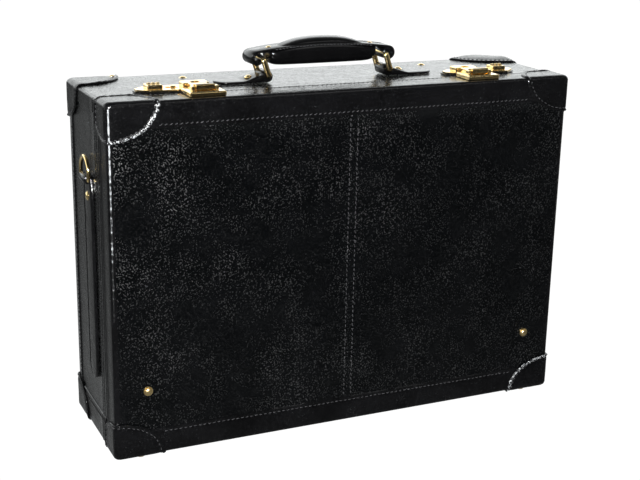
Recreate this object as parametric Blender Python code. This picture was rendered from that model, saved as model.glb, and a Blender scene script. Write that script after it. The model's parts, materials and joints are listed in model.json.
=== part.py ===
"""A hard-sided leather attache case with brass hardware, standing on its hinge side.

The shallow lid faces -Y, the deep base is behind it, and the handle is on top (+Z). The origin is the
middle of the footprint, on the ground. Lengths in the constants are millimetres; MM turns them into metres.
"""

import math

import bmesh
import bpy
from mathutils import Matrix, Vector

MM = 0.001
GAP = 0.3                 # clearance between pieces that touch or move on each other

# The case body
WIDTH, DEPTH, HEIGHT = 457.0, 132.0, 322.0
FOOT_HEIGHT = 4.0
FOOT_RADIUS, FOOT_INSET = 4.5, 25.0
FOOT_FROM_FRONT, FOOT_FROM_BACK = 9.0, 14.0
WALL, PANEL = 5.0, 4.0    # side walls, and the front and back panels
EDGE_RADIUS = 6.0
LID_DEPTH = 31.0
LINING = 1.2

HALF_W, HALF_D = WIDTH / 2, DEPTH / 2
BOTTOM, TOP = FOOT_HEIGHT, FOOT_HEIGHT + HEIGHT
SEAM = LID_DEPTH - HALF_D
BEYOND = 40.0             # how far a cutter passes the piece that it cuts

# Domed studs on the front and the back
STUD_RADIUS, STUD_PROUD = 4.3, 2.4
STUD_INSET, STUD_UP = 31.0, 62.0

# The rims inside the walls at the seam: the base's one is a tongue that enters the lid
RIM_WALL = 2.5
TONGUE = 4.5
BASE_RIM_DEPTH = 15.0
LID_RIM_DEPTH = 9.0

# The document pocket inside the lid: its distances from the side walls, the bottom and the top
POCKET_SIDE, POCKET_LOW, POCKET_HIGH, POCKET_THICK = 28.0, 70.0, 24.0, 2.4
RIM_OUT = WALL + GAP      # how far the outer face of rims and linings is inside the case's outside
RIM_IN = RIM_OUT + RIM_WALL

# Leather corner caps
CAP_THICK = 1.6
CAP_WIDE, CAP_DEEP, CAP_TALL = 47.0, 40.0, 34.0

# The hinge along the bottom of the seam
HINGE_LENGTH = 340.0
HINGE_Z = BOTTOM - 0.3
KNUCKLE_RADIUS, PIN_RADIUS = 2.0, 0.8
KNUCKLES = 5
LEAF_WIDTH, LEAF_THICK = 12.0, 0.9
NOTCH = 3.0               # half width and height of the groove in the shells round the knuckles

# Lid stays: a slotted arm turns on the lid's pin and slides on the base's pin
STAY_RADIUS = 55.0        # distance of both pins from the hinge axis
STAY_SIDE = 10.0          # distance of both pins from the seam
STAY_THICK, STAY_HALF_WIDE = 1.5, 4.5
STAY_SLOT_HALF = 2.4
STAY_PIN_RADIUS, STAY_HEAD_RADIUS, STAY_HEAD = 1.9, 3.6, 1.0
LID_OPEN = math.radians(95)
PIN_Z = HINGE_Z + math.sqrt(STAY_RADIUS**2 - STAY_SIDE**2)
STAY_CLOSED = 2 * STAY_SIDE
STAY_OPEN = 2 * STAY_RADIUS * math.sin(LID_OPEN / 2 + math.asin(STAY_SIDE / STAY_RADIUS))

# Locks: distances along X are from the middle of the case
LOCK_BACK = 44.5 - HALF_D             # the lock's centre line
LOCK_INNER, LOCK_OUTER = 116.0, 190.0
LOCK_HALF_WIDE, LOCK_TAPER, LOCK_TIP = 11.5, 10.0, 3.5
BACKING_THICK, BACKING_MARGIN, PLATE_THICK = 1.2, 1.5, 1.4
BACKING_Z = TOP + GAP
PLATE_Z = BACKING_Z + BACKING_THICK + GAP
PLATE_TOP = PLATE_Z + PLATE_THICK
SUNK = 0.5                            # how far blocks that are joined to a plate go into it
DIAL_BLOCK = (167.0, 181.0)
DIAL_BLOCK_HALF, DIAL_BLOCK_TOP = 6.8, PLATE_TOP + 3.7
DIAL_PITCH, DIAL_WIDE, DIAL_RADIUS = 4.1, 2.8, 2.9
DIAL_Z = PLATE_TOP + 2.4
DIAL_SLOT_MARGIN = 0.4
CATCH = (125.0, 149.0)
CATCH_FRONT, CATCH_BACK = 37.0 - HALF_D, 50.0 - HALF_D
CATCH_TOP = PLATE_TOP + 4.4
CHANNEL_HALF, CHANNEL_FLOOR, CHANNEL_BACK = 3.8, PLATE_TOP + 0.6, CATCH_FRONT + 8.5
BUTTON_X, BUTTON_TRAVEL = 156.0, 3.5
BUTTON_HALF_LONG, BUTTON_HALF_WIDE = 3.2, 3.6
TRACK_DEEP, KNOB_RADIUS, KNOB_HEIGHT = 0.8, 2.4, 1.6

# Hasps
HASP_MID = 137.0
HASP_BASE_HALF, HASP_HALF = 16.5, 8.5
HASP_BASE_FRONT, HASP_BASE_BACK, HASP_BASE_TOP = 4.5 - HALF_D, 30.0 - HALF_D, TOP + 4.9
HASP_AXIS_Y, HASP_AXIS_Z = 16.2 - HALF_D, TOP + 6.6
HASP_FRONT, HASP_END = HASP_AXIS_Y - 4.0, CATCH_FRONT - 0.6
HASP_BOTTOM, HASP_TOP = HASP_AXIS_Z - 2.6, TOP + 10.2
HASP_STEP = (HASP_AXIS_Y + 2.8, HASP_AXIS_Y + 8.0)    # the hasp's top falls to its arm between these
HASP_ARM_TOP = TOP + 7.6
HASP_SWEEP = 5.4                      # radius kept free round the axis for the hasp's front
EAR_HALF, EAR_DEEP, EAR_TOP = 1.7, 3.2, HASP_AXIS_Z + 1.9
HASP_PIN_RADIUS = 1.0
TONGUE_HALF, TONGUE_REACH = 3.2, 7.5
TONGUE_LOW, TONGUE_HIGH = PLATE_TOP + 1.2, PLATE_TOP + 3.2

# Handle
RING_X = 62.0
RING_WIRE = 1.7
RING_HALF = 14.0
RING_CORNER = 3.0
RING_RISE = 17.8
RING_LEAN = math.radians(19)          # at rest both rings lean to the left
RING_LOW = TOP + 5.5
RING_HIGH = RING_LOW + RING_RISE * math.cos(RING_LEAN)
GRIP_X = -RING_RISE * math.sin(RING_LEAN)
LOOP_RADIUS, LOOP_HALF = 5.2, 10.0
TAB_END, TAB_HALF, TAB_THICK = 111.0, 11.7, 5.2
TAB_ROOT, TAB_FLARE, TAB_NARROW = 2.0, 6.0, 2.5
ROLL_X, ROLL_RADIUS, GRIP_HALF = 66.5, 7.0, 11.6
GRIP_SWELL, GRIP_THIN, GRIP_FULL, GRIP_ARCH = 1.4, 5.6, 6.2, 3.9
BORE_LENGTH = 60.0

# Side straps with their D-rings
STRAP_Y = 62.0 - HALF_D
STRAP_HALF, STRAP_THICK, STRAP_TAPER = 14.0, 2.6, 12.0
STRAP_LOW, STRAP_HIGH = BOTTOM + 57.0, BOTTOM + 246.0
D_WIRE, D_HALF, D_LEG, D_CORNER = 1.5, 13.5, 6.0, 2.5
SIDE_LOOP_RADIUS, SIDE_LOOP_HALF = 3.6, 10.0
SIDE_AXIS_X = HALF_W + GAP + SIDE_LOOP_RADIUS


# ---------------------------------------------------------------- materials and scene

def clear_scene():
    for obj in list(bpy.data.objects):
        bpy.data.objects.remove(obj)


def material(name, colour, roughness, metallic=0.0):
    made = bpy.data.materials.new(name)
    made.use_nodes = True
    shader = made.node_tree.nodes["Principled BSDF"]
    shader.inputs["Base Color"].default_value = (*colour, 1.0)
    shader.inputs["Roughness"].default_value = roughness
    shader.inputs["Metallic"].default_value = metallic
    return made


def link(name, data, finish, origin=(0, 0, 0), parent=None):
    """Adds the object. The mesh is in world coordinates and moves so that its origin is at origin (mm)."""
    origin = Vector(origin) * MM
    data.transform(Matrix.Translation(-origin))
    obj = bpy.data.objects.new(name, data)
    obj.location = origin
    if parent:
        obj.parent = parent
        obj.location = origin - parent.location
    if finish:
        data.materials.append(finish)
    bpy.context.scene.collection.objects.link(obj)
    return obj


def solid(name, bm, finish, origin=(0, 0, 0), parent=None, smooth=False):
    """Turns a bmesh in millimetres into a named object."""
    bmesh.ops.recalc_face_normals(bm, faces=bm.faces)
    bmesh.ops.scale(bm, vec=(MM, MM, MM), verts=bm.verts)
    data = bpy.data.meshes.new(name)
    bm.to_mesh(data)
    bm.free()
    if smooth:
        data.shade_smooth()
        data.set_sharp_from_angle(angle=math.radians(35))
    return link(name, data, finish, origin, parent)


def cutter(name, bm):
    obj = solid("cut_" + name, bm, None)
    obj.hide_render = True
    obj.display_type = "WIRE"
    return obj


def boolean(obj, other, operation="DIFFERENCE"):
    step = obj.modifiers.new(other.name, "BOOLEAN")
    step.operation = operation
    step.object = other
    step.solver = "EXACT"


def axis_empty(name, place):
    obj = bpy.data.objects.new(name, None)
    obj.location = Vector(place) * MM
    bpy.context.scene.collection.objects.link(obj)
    return obj


# ---------------------------------------------------------------- shapes, as bmesh in millimetres

def box(low, high, radius=0.0, segments=2):
    bm = bmesh.new()
    size = Vector(high) - Vector(low)
    middle = (Vector(high) + Vector(low)) / 2
    bmesh.ops.create_cube(bm, size=1.0)
    bmesh.ops.scale(bm, vec=size, verts=bm.verts)
    bmesh.ops.translate(bm, vec=middle, verts=bm.verts)
    if radius:
        bmesh.ops.bevel(bm, geom=list(bm.edges), offset=radius, segments=segments, profile=0.5,
                        affect="EDGES", clamp_overlap=True)
    return bm


def span(a, b):
    return (min(a, b), max(a, b))


def side_box(side, x, y, z, radius=0.0, segments=1):
    """A box given by its distances from the middle plane, on the side -1 (left) or 1 (right)."""
    x = span(side * x[0], side * x[1])
    return box((x[0], y[0], z[0]), (x[1], y[1], z[1]), radius, segments)


def cylinder(middle, radius, length, axis, sides=16, bevel=0.0):
    bm = bmesh.new()
    turn = {"X": Matrix.Rotation(math.pi / 2, 4, "Y"), "Y": Matrix.Rotation(math.pi / 2, 4, "X"),
            "Z": Matrix.Identity(4)}[axis]
    bmesh.ops.create_cone(bm, cap_ends=True, segments=sides, radius1=radius, radius2=radius, depth=length,
                          matrix=Matrix.Translation(middle) @ turn)
    if bevel:
        rims = [e for e in bm.edges if any(len(f.verts) > 4 for f in e.link_faces)]
        bmesh.ops.bevel(bm, geom=rims, offset=bevel, segments=1, affect="EDGES")
    return bm


def dome(base, radius, height, axis, sign=1, sides=14, rings=3):
    """A domed stud: a short straight rim, then a cap of the given height along the signed axis."""
    bm = bmesh.new()
    rim = 0.35 * height
    levels = [(radius, 0.0), (radius, rim)]
    for i in range(1, rings):
        t = math.pi / 2 * i / rings
        levels.append((radius * math.cos(t), rim + (height - rim) * math.sin(t)))
    loops = []
    for r, h in levels:
        loops.append([bm.verts.new((r * math.cos(2 * math.pi * k / sides),
                                    r * math.sin(2 * math.pi * k / sides), h)) for k in range(sides)])
    peak = bm.verts.new((0, 0, height))
    bm.faces.new(loops[0])
    for lower, upper in zip(loops, loops[1:]):
        for k in range(sides):
            bm.faces.new((lower[k], lower[(k + 1) % sides], upper[(k + 1) % sides], upper[k]))
    for k in range(sides):
        bm.faces.new((loops[-1][k], loops[-1][(k + 1) % sides], peak))
    target = {"X": Vector((sign, 0, 0)), "Y": Vector((0, sign, 0)), "Z": Vector((0, 0, sign))}[axis]
    turn = Vector((0, 0, 1)).rotation_difference(target).to_matrix().to_4x4()
    bmesh.ops.transform(bm, matrix=Matrix.Translation(base) @ turn, verts=bm.verts)
    return bm


def prism(outline, low, high, plane):
    """Extrudes a closed outline. plane is XY (extruded along Z) or YZ (extruded along X)."""
    bm = bmesh.new()
    place = {"XY": lambda a, b, c: (a, b, c), "YZ": lambda a, b, c: (c, a, b)}[plane]
    lower = [bm.verts.new(place(a, b, low)) for a, b in outline]
    upper = [bm.verts.new(place(a, b, high)) for a, b in outline]
    bm.faces.new(lower)
    bm.faces.new(upper)
    count = len(outline)
    for k in range(count):
        n = (k + 1) % count
        bm.faces.new((lower[k], lower[n], upper[n], upper[k]))
    return bm


def arc(cx, cy, radius, start, end, steps):
    """Points of an arc, angles in degrees."""
    points = []
    for i in range(steps + 1):
        t = math.radians(start + (end - start) * i / steps)
        points.append((cx + radius * math.cos(t), cy + radius * math.sin(t)))
    return points


def wire_loop(name, points, radius, finish, origin, parent=None):
    """A closed ring of round wire through points (mm)."""
    curve = bpy.data.curves.new(name, "CURVE")
    curve.dimensions = "3D"
    curve.bevel_depth = radius * MM
    curve.bevel_resolution = 2
    spline = curve.splines.new("POLY")
    spline.points.add(len(points) - 1)
    for point, place in zip(spline.points, points):
        point.co = (*(Vector(place) * MM), 1.0)
    spline.use_cyclic_u = True
    spline.use_smooth = True
    return link(name, curve, finish, origin, parent)


# ---------------------------------------------------------------- the case body

def case_block(outset, radius):
    """The whole closed case as a rounded block, its faces moved outwards by outset."""
    return box((-HALF_W - outset, -HALF_D - outset, BOTTOM - outset),
               (HALF_W + outset, HALF_D + outset, TOP + outset), radius, 3)


def behind_seam(y):
    return box((-HALF_W - BEYOND, y, BOTTOM - BEYOND), (HALF_W + BEYOND, HALF_D + BEYOND, TOP + BEYOND))


def before_seam(y):
    return box((-HALF_W - BEYOND, -HALF_D - BEYOND, BOTTOM - BEYOND), (HALF_W + BEYOND, y, TOP + BEYOND))


def hollow(inset, y_low, y_high):
    return box((-HALF_W + inset, y_low, BOTTOM + inset), (HALF_W - inset, y_high, TOP - inset))


def hinge_groove():
    half = HINGE_LENGTH / 2 + 1.0
    return box((-half, SEAM - NOTCH, BOTTOM - NOTCH), (half, SEAM + NOTCH, BOTTOM + NOTCH))


def shells(leather, lid):
    base = solid("base_shell", case_block(0.0, EDGE_RADIUS), leather)
    boolean(base, cutter("base_front", before_seam(SEAM)))
    boolean(base, cutter("base_hollow", hollow(WALL, SEAM - BEYOND, HALF_D - PANEL)))
    front = solid("lid_shell", case_block(0.0, EDGE_RADIUS), leather, lid_axis(), lid)
    boolean(front, cutter("lid_back", behind_seam(SEAM - GAP)))
    boolean(front, cutter("lid_hollow", hollow(WALL, -HALF_D + PANEL, SEAM + BEYOND)))
    groove = cutter("hinge_groove", hinge_groove())
    boolean(base, groove)
    boolean(front, groove)


def frame_ring(name, y_low, y_high, finish, origin=(0, 0, 0), parent=None):
    """A rectangular frame that lines the walls between two depths."""
    ring = solid(name, hollow(RIM_OUT, y_low, y_high), finish, origin, parent)
    boolean(ring, cutter(name, hollow(RIM_IN, y_low - BEYOND, y_high + BEYOND)))


def tray(name, y_open, y_panel, finish, origin=(0, 0, 0), parent=None):
    """A lining: four thin walls and a back, open at y_open."""
    back = y_panel - math.copysign(LINING, y_panel - y_open)
    inside = y_open - math.copysign(BEYOND, y_panel - y_open)
    made = solid(name, hollow(RIM_OUT, *span(y_open, y_panel)), finish, origin, parent)
    boolean(made, cutter(name, hollow(RIM_OUT + LINING, *span(inside, back))))


def linings(suede, leather, lid):
    rim_back = SEAM - TONGUE + BASE_RIM_DEPTH
    frame_ring("base_rim", SEAM - TONGUE, rim_back, leather)
    tray("base_lining", rim_back + GAP, HALF_D - PANEL - GAP, suede)
    rim_front = SEAM - TONGUE - GAP - LID_RIM_DEPTH
    frame_ring("lid_rim", rim_front, SEAM - TONGUE - GAP, leather, lid_axis(), lid)
    tray("lid_lining", rim_front - GAP, -HALF_D + PANEL + GAP, suede, lid_axis(), lid)
    panel_y = -HALF_D + PANEL + GAP + LINING + GAP
    pocket = box((-HALF_W + POCKET_SIDE, panel_y, BOTTOM + POCKET_LOW),
                 (HALF_W - POCKET_SIDE, panel_y + POCKET_THICK, TOP - POCKET_HIGH), 1.0, 1)
    solid("lid_pocket", pocket, leather, lid_axis(), lid)


def lid_axis():
    return (0, SEAM, HINGE_Z)


def corner_caps(leather, lid):
    """Thin leather shells on the eight corners. Each is the part of a skin round the case near its corner."""
    skin_hole = cutter("cap_hole", case_block(GAP, EDGE_RADIUS + GAP))
    base_limit = cutter("cap_base_limit", before_seam(SEAM + GAP))
    lid_limit = cutter("cap_lid_limit", behind_seam(SEAM - GAP))
    for half, y, limit in (("lid", -HALF_D, lid_limit), ("base", HALF_D, base_limit)):
        for level, z in (("bottom", BOTTOM), ("top", TOP)):
            for side, x in (("left", -HALF_W), ("right", HALF_W)):
                name = f"cap_{half}_{level}_{side}"
                region = bmesh.new()
                bmesh.ops.create_uvsphere(region, u_segments=20, v_segments=12, radius=1.0,
                                          matrix=Matrix.Translation((x, y, z))
                                          @ Matrix.Diagonal((CAP_WIDE, CAP_DEEP, CAP_TALL, 1.0)))
                place = (lid_axis(), lid) if half == "lid" else ((x, y, z), None)
                cap = solid(name, case_block(CAP_THICK, EDGE_RADIUS + CAP_THICK), leather, *place)
                boolean(cap, cutter(name, region), "INTERSECT")
                boolean(cap, skin_hole)
                boolean(cap, limit)


def feet_and_studs(brass, lid):
    """Domed feet under both halves, studs low on the front, and four on the back to lie on."""
    foot_top = BOTTOM - CAP_THICK - GAP
    for side, sign in (("left", -1), ("right", 1)):
        x = sign * (HALF_W - FOOT_INSET)
        for half, y, parent in (("lid", FOOT_FROM_FRONT - HALF_D, lid),
                                ("base", HALF_D - FOOT_FROM_BACK, None)):
            foot = cylinder((x, y, foot_top / 2), FOOT_RADIUS, foot_top, "Z", 18, 0.7)
            place = lid_axis() if parent else (x, y, foot_top)
            solid(f"foot_{half}_{side}", foot, brass, place, parent)
        x = sign * (HALF_W - STUD_INSET)
        front = dome((x, -HALF_D - GAP, BOTTOM + STUD_UP), STUD_RADIUS, STUD_PROUD, "Y", -1)
        solid(f"stud_front_{side}", front, brass, lid_axis(), lid, smooth=True)
        for level, z in (("bottom", BOTTOM + STUD_UP), ("top", TOP - STUD_UP)):
            back = dome((x, HALF_D + GAP, z), STUD_RADIUS, STUD_PROUD, "Y", 1)
            solid(f"stud_back_{level}_{side}", back, brass, (x, HALF_D, z), smooth=True)


# ---------------------------------------------------------------- hinge and stays

def hinge(steel, lid):
    """A continuous hinge: leaves under both halves with knuckles in turn on one pin."""
    half = HINGE_LENGTH / 2
    pitch = HINGE_LENGTH / KNUCKLES
    solid("hinge_pin", cylinder((0, SEAM, HINGE_Z), PIN_RADIUS, HINGE_LENGTH, "X", 10), steel, lid_axis())
    bore = cylinder((0, SEAM, HINGE_Z), PIN_RADIUS + GAP, HINGE_LENGTH + BEYOND, "X", 10)
    bore = cutter("hinge_bore", bore)
    leaf_top = HINGE_Z
    for name, sign, first, parent in (("hinge_leaf_lid", -1, 0, lid), ("hinge_leaf_base", 1, 1, None)):
        y = span(SEAM + sign * (KNUCKLE_RADIUS + 0.8), SEAM + sign * (NOTCH + LEAF_WIDTH))
        leaf = solid(name, box((-half, y[0], leaf_top - LEAF_THICK), (half, y[1], leaf_top)), steel,
                     lid_axis(), parent)
        for k in range(first, KNUCKLES, 2):
            x = -half + pitch * (k + 0.5)
            length = pitch - 2 * GAP
            place = (x, SEAM, HINGE_Z)
            boolean(leaf, cutter(f"knuckle_{k}", cylinder(place, KNUCKLE_RADIUS, length, "X", 12)), "UNION")
            root_y = span(SEAM + sign * 1.2, SEAM + sign * (NOTCH + 1.0))
            root = box((x - length / 2 + 0.2, root_y[0], leaf_top - LEAF_THICK + 0.05),
                       (x + length / 2 - 0.2, root_y[1], leaf_top - 0.05))
            boolean(leaf, cutter(f"knuckle_root_{k}", root), "UNION")
        boolean(leaf, bore)


def stays(brass, lid):
    """Slotted arms on both side walls. The arm points straight back when the lid is closed."""
    lid_pin_y, base_pin_y = SEAM - STAY_SIDE, SEAM + STAY_SIDE
    wall = HALF_W - RIM_IN
    arm_out = wall - 0.6
    arm_in = arm_out - STAY_THICK
    head_out = arm_in - GAP
    slot_from = lid_pin_y + STAY_CLOSED - STAY_SLOT_HALF
    slot_to = lid_pin_y + STAY_OPEN + STAY_SLOT_HALF + GAP
    end = slot_to + 3.0
    for side, sign in (("left", -1), ("right", 1)):
        outline = arc(lid_pin_y, PIN_Z, STAY_HALF_WIDE, 90, 270, 8)
        outline += arc(end - STAY_HALF_WIDE, PIN_Z, STAY_HALF_WIDE, -90, 90, 8)
        x = span(sign * arm_in, sign * arm_out)
        axis = (sign * (arm_in + arm_out) / 2, lid_pin_y, PIN_Z)
        arm = solid(f"stay_arm_{side}", prism(outline, *x, "YZ"), brass, axis, lid)
        wide = span(sign * (arm_in - 5), sign * (arm_out + 5))
        slot = arc(slot_from + STAY_SLOT_HALF, PIN_Z, STAY_SLOT_HALF, 90, 270, 6)
        slot += arc(slot_to - STAY_SLOT_HALF, PIN_Z, STAY_SLOT_HALF, -90, 90, 6)
        boolean(arm, cutter(f"slot_{side}", prism(slot, *wide, "YZ")))
        hole = cylinder(axis, STAY_SLOT_HALF, 20, "X", 12)
        boolean(arm, cutter(f"stay_hole_{side}", hole))
        for half, y, parent in (("lid", lid_pin_y, lid), ("base", base_pin_y, None)):
            shank_length = (wall - GAP) - head_out + 0.5
            shank = cylinder((sign * (wall - GAP - shank_length / 2), y, PIN_Z), STAY_PIN_RADIUS,
                             shank_length, "X", 12)
            place = lid_axis() if parent else (sign * wall, y, PIN_Z)
            pin = solid(f"stay_pin_{half}_{side}", shank, brass, place, parent)
            place = (sign * (head_out - STAY_HEAD / 2), y, PIN_Z)
            head = cylinder(place, STAY_HEAD_RADIUS, STAY_HEAD, "X", 14)
            boolean(pin, cutter(f"stay_head_{half}_{side}", head), "UNION")


# ---------------------------------------------------------------- locks

def lock_outline(side, grow):
    """The lock plate seen from above: a long plate whose two ends taper to blunt tips."""
    half = LOCK_HALF_WIDE + grow
    tip = LOCK_TIP + grow / 2
    x = (LOCK_INNER - grow, LOCK_INNER + LOCK_TAPER, LOCK_OUTER - LOCK_TAPER, LOCK_OUTER + grow)
    points = [(x[0], -tip), (x[1], -half), (x[2], -half), (x[3], -tip),
              (x[3], tip), (x[2], half), (x[1], half), (x[0], tip)]
    return [(side * a, LOCK_BACK + b) for a, b in points]


def locks(brass, leather, dial_brass):
    low = PLATE_TOP - SUNK
    for name, side in (("left", -1), ("right", 1)):
        backing = prism(lock_outline(side, BACKING_MARGIN), BACKING_Z, BACKING_Z + BACKING_THICK, "XY")
        solid(f"lock_backing_{name}", backing, leather, (side * HASP_MID, LOCK_BACK, TOP))
        plate = solid(f"lock_plate_{name}", prism(lock_outline(side, 0.0), PLATE_Z, PLATE_TOP, "XY"), brass,
                      (side * HASP_MID, LOCK_BACK, PLATE_Z))
        block_y = (LOCK_BACK - DIAL_BLOCK_HALF, LOCK_BACK + DIAL_BLOCK_HALF)
        dial_block = side_box(side, DIAL_BLOCK, block_y, (low, DIAL_BLOCK_TOP), 0.8)
        boolean(plate, cutter(f"dial_block_{name}", dial_block), "UNION")
        catch = side_box(side, CATCH, (CATCH_FRONT, CATCH_BACK), (low, CATCH_TOP), 0.8)
        boolean(plate, cutter(f"catch_{name}", catch), "UNION")
        channel = side_box(side, (HASP_MID - CHANNEL_HALF, HASP_MID + CHANNEL_HALF),
                           (CATCH_FRONT - BEYOND, CHANNEL_BACK), (CHANNEL_FLOOR, CATCH_TOP + BEYOND))
        boolean(plate, cutter(f"catch_channel_{name}", channel))
        middle = side * sum(DIAL_BLOCK) / 2
        for k in range(3):
            dial(f"{name}_{k + 1}", middle + (k - 1) * DIAL_PITCH, plate, dial_brass)
        button(name, side, plate, brass)


def dial(name, x, plate, dial_brass):
    """A number wheel that turns about X in its own slot of the lock plate."""
    half = DIAL_WIDE / 2 + GAP
    reach = DIAL_RADIUS + DIAL_SLOT_MARGIN
    slot = box((x - half, LOCK_BACK - reach, DIAL_Z - DIAL_RADIUS - GAP),
               (x + half, LOCK_BACK + reach, DIAL_BLOCK_TOP + BEYOND))
    boolean(plate, cutter(f"dial_slot_{name}", slot))
    wheel = cylinder((x, LOCK_BACK, DIAL_Z), DIAL_RADIUS, DIAL_WIDE, "X", 20, 0.35)
    solid(f"dial_{name}", wheel, dial_brass, (x, LOCK_BACK, DIAL_Z), smooth=True)


def button(name, side, plate, brass):
    """The slide button: a flat slider in a shallow track, with a round knob to push outwards."""
    half_x, half_y = BUTTON_HALF_LONG, BUTTON_HALF_WIDE
    inner = side * BUTTON_X
    outer = side * (BUTTON_X + BUTTON_TRAVEL)
    x = span(inner - side * (half_x + GAP), outer + side * (half_x + GAP))
    track = box((x[0], LOCK_BACK - half_y - GAP, PLATE_TOP - TRACK_DEEP),
                (x[1], LOCK_BACK + half_y + GAP, PLATE_TOP + BEYOND))
    boolean(plate, cutter(f"button_track_{name}", track))
    slider = box((inner - half_x, LOCK_BACK - half_y, PLATE_TOP - TRACK_DEEP + GAP),
                 (inner + half_x, LOCK_BACK + half_y, PLATE_TOP + GAP))
    made = solid(f"lock_button_{name}", slider, brass, (inner, LOCK_BACK, PLATE_TOP))
    knob = cylinder((inner, LOCK_BACK, PLATE_TOP + KNOB_HEIGHT / 2), KNOB_RADIUS, KNOB_HEIGHT, "Z", 16, 0.4)
    boolean(made, cutter(f"button_knob_{name}", knob), "UNION")


def hasp_outline():
    """The hasp from the side: an upright front, falling behind the axis to the arm that meets the catch."""
    chamfer = 0.8
    front = [(HASP_FRONT + chamfer, HASP_TOP), (HASP_FRONT, HASP_TOP - chamfer),
             (HASP_FRONT, HASP_AXIS_Z - 1.0), (HASP_FRONT + chamfer, HASP_BOTTOM)]
    arm = [(HASP_END, HASP_BOTTOM), (HASP_END, HASP_ARM_TOP - chamfer), (HASP_END - chamfer, HASP_ARM_TOP),
           (HASP_STEP[1], HASP_ARM_TOP), (HASP_STEP[0], HASP_TOP - 0.5)]
    return front + arm


def hasps(brass, lid):
    """Hinge blocks on the lid's top strip, and the hasps that reach back over the catches."""
    bore_radius = HASP_PIN_RADIUS + GAP + 0.1
    for name, side in (("left", -1), ("right", 1)):
        mid = side * HASP_MID
        block = box((mid - HASP_BASE_HALF, HASP_BASE_FRONT, TOP + GAP),
                    (mid + HASP_BASE_HALF, HASP_BASE_BACK, HASP_BASE_TOP), 0.9, 1)
        base = solid(f"hasp_base_{name}", block, brass, lid_axis(), lid)
        room = box((mid - HASP_HALF - GAP, HASP_AXIS_Y - HASP_SWEEP, TOP + 1.8),
                   (mid + HASP_HALF + GAP, HASP_BASE_BACK + BEYOND, TOP + BEYOND))
        boolean(base, cutter(f"hasp_room_{name}", room))
        for k in (-1, 1):
            x = mid + k * (HASP_HALF + 2 * GAP + EAR_HALF)
            ear = box((x - EAR_HALF, HASP_AXIS_Y - EAR_DEEP, TOP + 2.0),
                      (x + EAR_HALF, HASP_AXIS_Y + EAR_DEEP, EAR_TOP), 0.7, 1)
            boolean(base, cutter(f"hasp_ear_{name}_{k}", ear), "UNION")
        axis = (mid, HASP_AXIS_Y, HASP_AXIS_Z)
        pin = cylinder(axis, HASP_PIN_RADIUS, 2 * (HASP_HALF + EAR_HALF), "X", 10)
        boolean(base, cutter(f"hasp_pin_{name}", pin), "UNION")

        body = prism(hasp_outline(), mid - HASP_HALF, mid + HASP_HALF, "YZ")
        hasp = solid(f"hasp_{name}", body, brass, axis, lid)
        tongue = box((mid - TONGUE_HALF, HASP_END - 2.0, TONGUE_LOW),
                     (mid + TONGUE_HALF, CATCH_FRONT + TONGUE_REACH, TONGUE_HIGH))
        boolean(hasp, cutter(f"hasp_tongue_{name}", tongue), "UNION")
        bore = cylinder(axis, bore_radius, 2 * HASP_HALF + BEYOND, "X", 12)
        boolean(hasp, cutter(f"hasp_bore_{name}", bore))


# ---------------------------------------------------------------- handle

def tabs_and_rings(leather, brass):
    for name, side in (("left", -1), ("right", 1)):
        x = side * RING_X
        end = TAB_END - TAB_HALF
        narrow = TAB_HALF - TAB_NARROW
        outline = [(side * (RING_X - TAB_ROOT), -narrow), (side * (RING_X + TAB_FLARE), -TAB_HALF)]
        outline += [(side * a, b) for a, b in arc(end, 0, TAB_HALF, -90, 90, 12)]
        outline += [(side * (RING_X + TAB_FLARE), TAB_HALF), (side * (RING_X - TAB_ROOT), narrow)]
        tab = solid(f"handle_tab_{name}", prism(outline, TOP + GAP, TOP + GAP + TAB_THICK, "XY"), leather,
                    (x, 0, TOP))
        loop = cylinder((x, 0, TOP + GAP + LOOP_RADIUS), LOOP_RADIUS, 2 * LOOP_HALF, "Y", 18)
        boolean(tab, cutter(f"tab_loop_{name}", loop), "UNION")
        bore = cylinder((x, 0, RING_LOW), RING_WIRE + 0.5, BORE_LENGTH, "Y", 14)
        boolean(tab, cutter(f"tab_bore_{name}", bore))

        inner = RING_HALF - RING_CORNER
        yz = arc(inner, RING_CORNER, RING_CORNER, -90, 0, 3)
        yz += arc(inner, RING_RISE - RING_CORNER, RING_CORNER, 0, 90, 3)
        yz += arc(-inner, RING_RISE - RING_CORNER, RING_CORNER, 90, 180, 3)
        yz += arc(-inner, RING_CORNER, RING_CORNER, 180, 270, 3)
        points = [(x - math.sin(RING_LEAN) * b, a, RING_LOW + math.cos(RING_LEAN) * b) for a, b in yz]
        wire_loop(f"handle_ring_{name}", points, RING_WIRE, brass, (x, 0, RING_LOW))


def grip_station(x):
    """Half width, half thickness and centre height of the grip at a distance from its middle."""
    t = min(abs(x) / ROLL_X, 1.0)
    swell = math.cos(math.pi / 2 * min(t / 0.86, 1.0)) ** 0.8
    half_wide = GRIP_HALF + GRIP_SWELL * swell
    half_thick = GRIP_THIN + GRIP_FULL * swell
    centre = RING_HIGH + GRIP_ARCH * (1 - t**2.2)
    return half_wide, half_thick, centre


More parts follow.
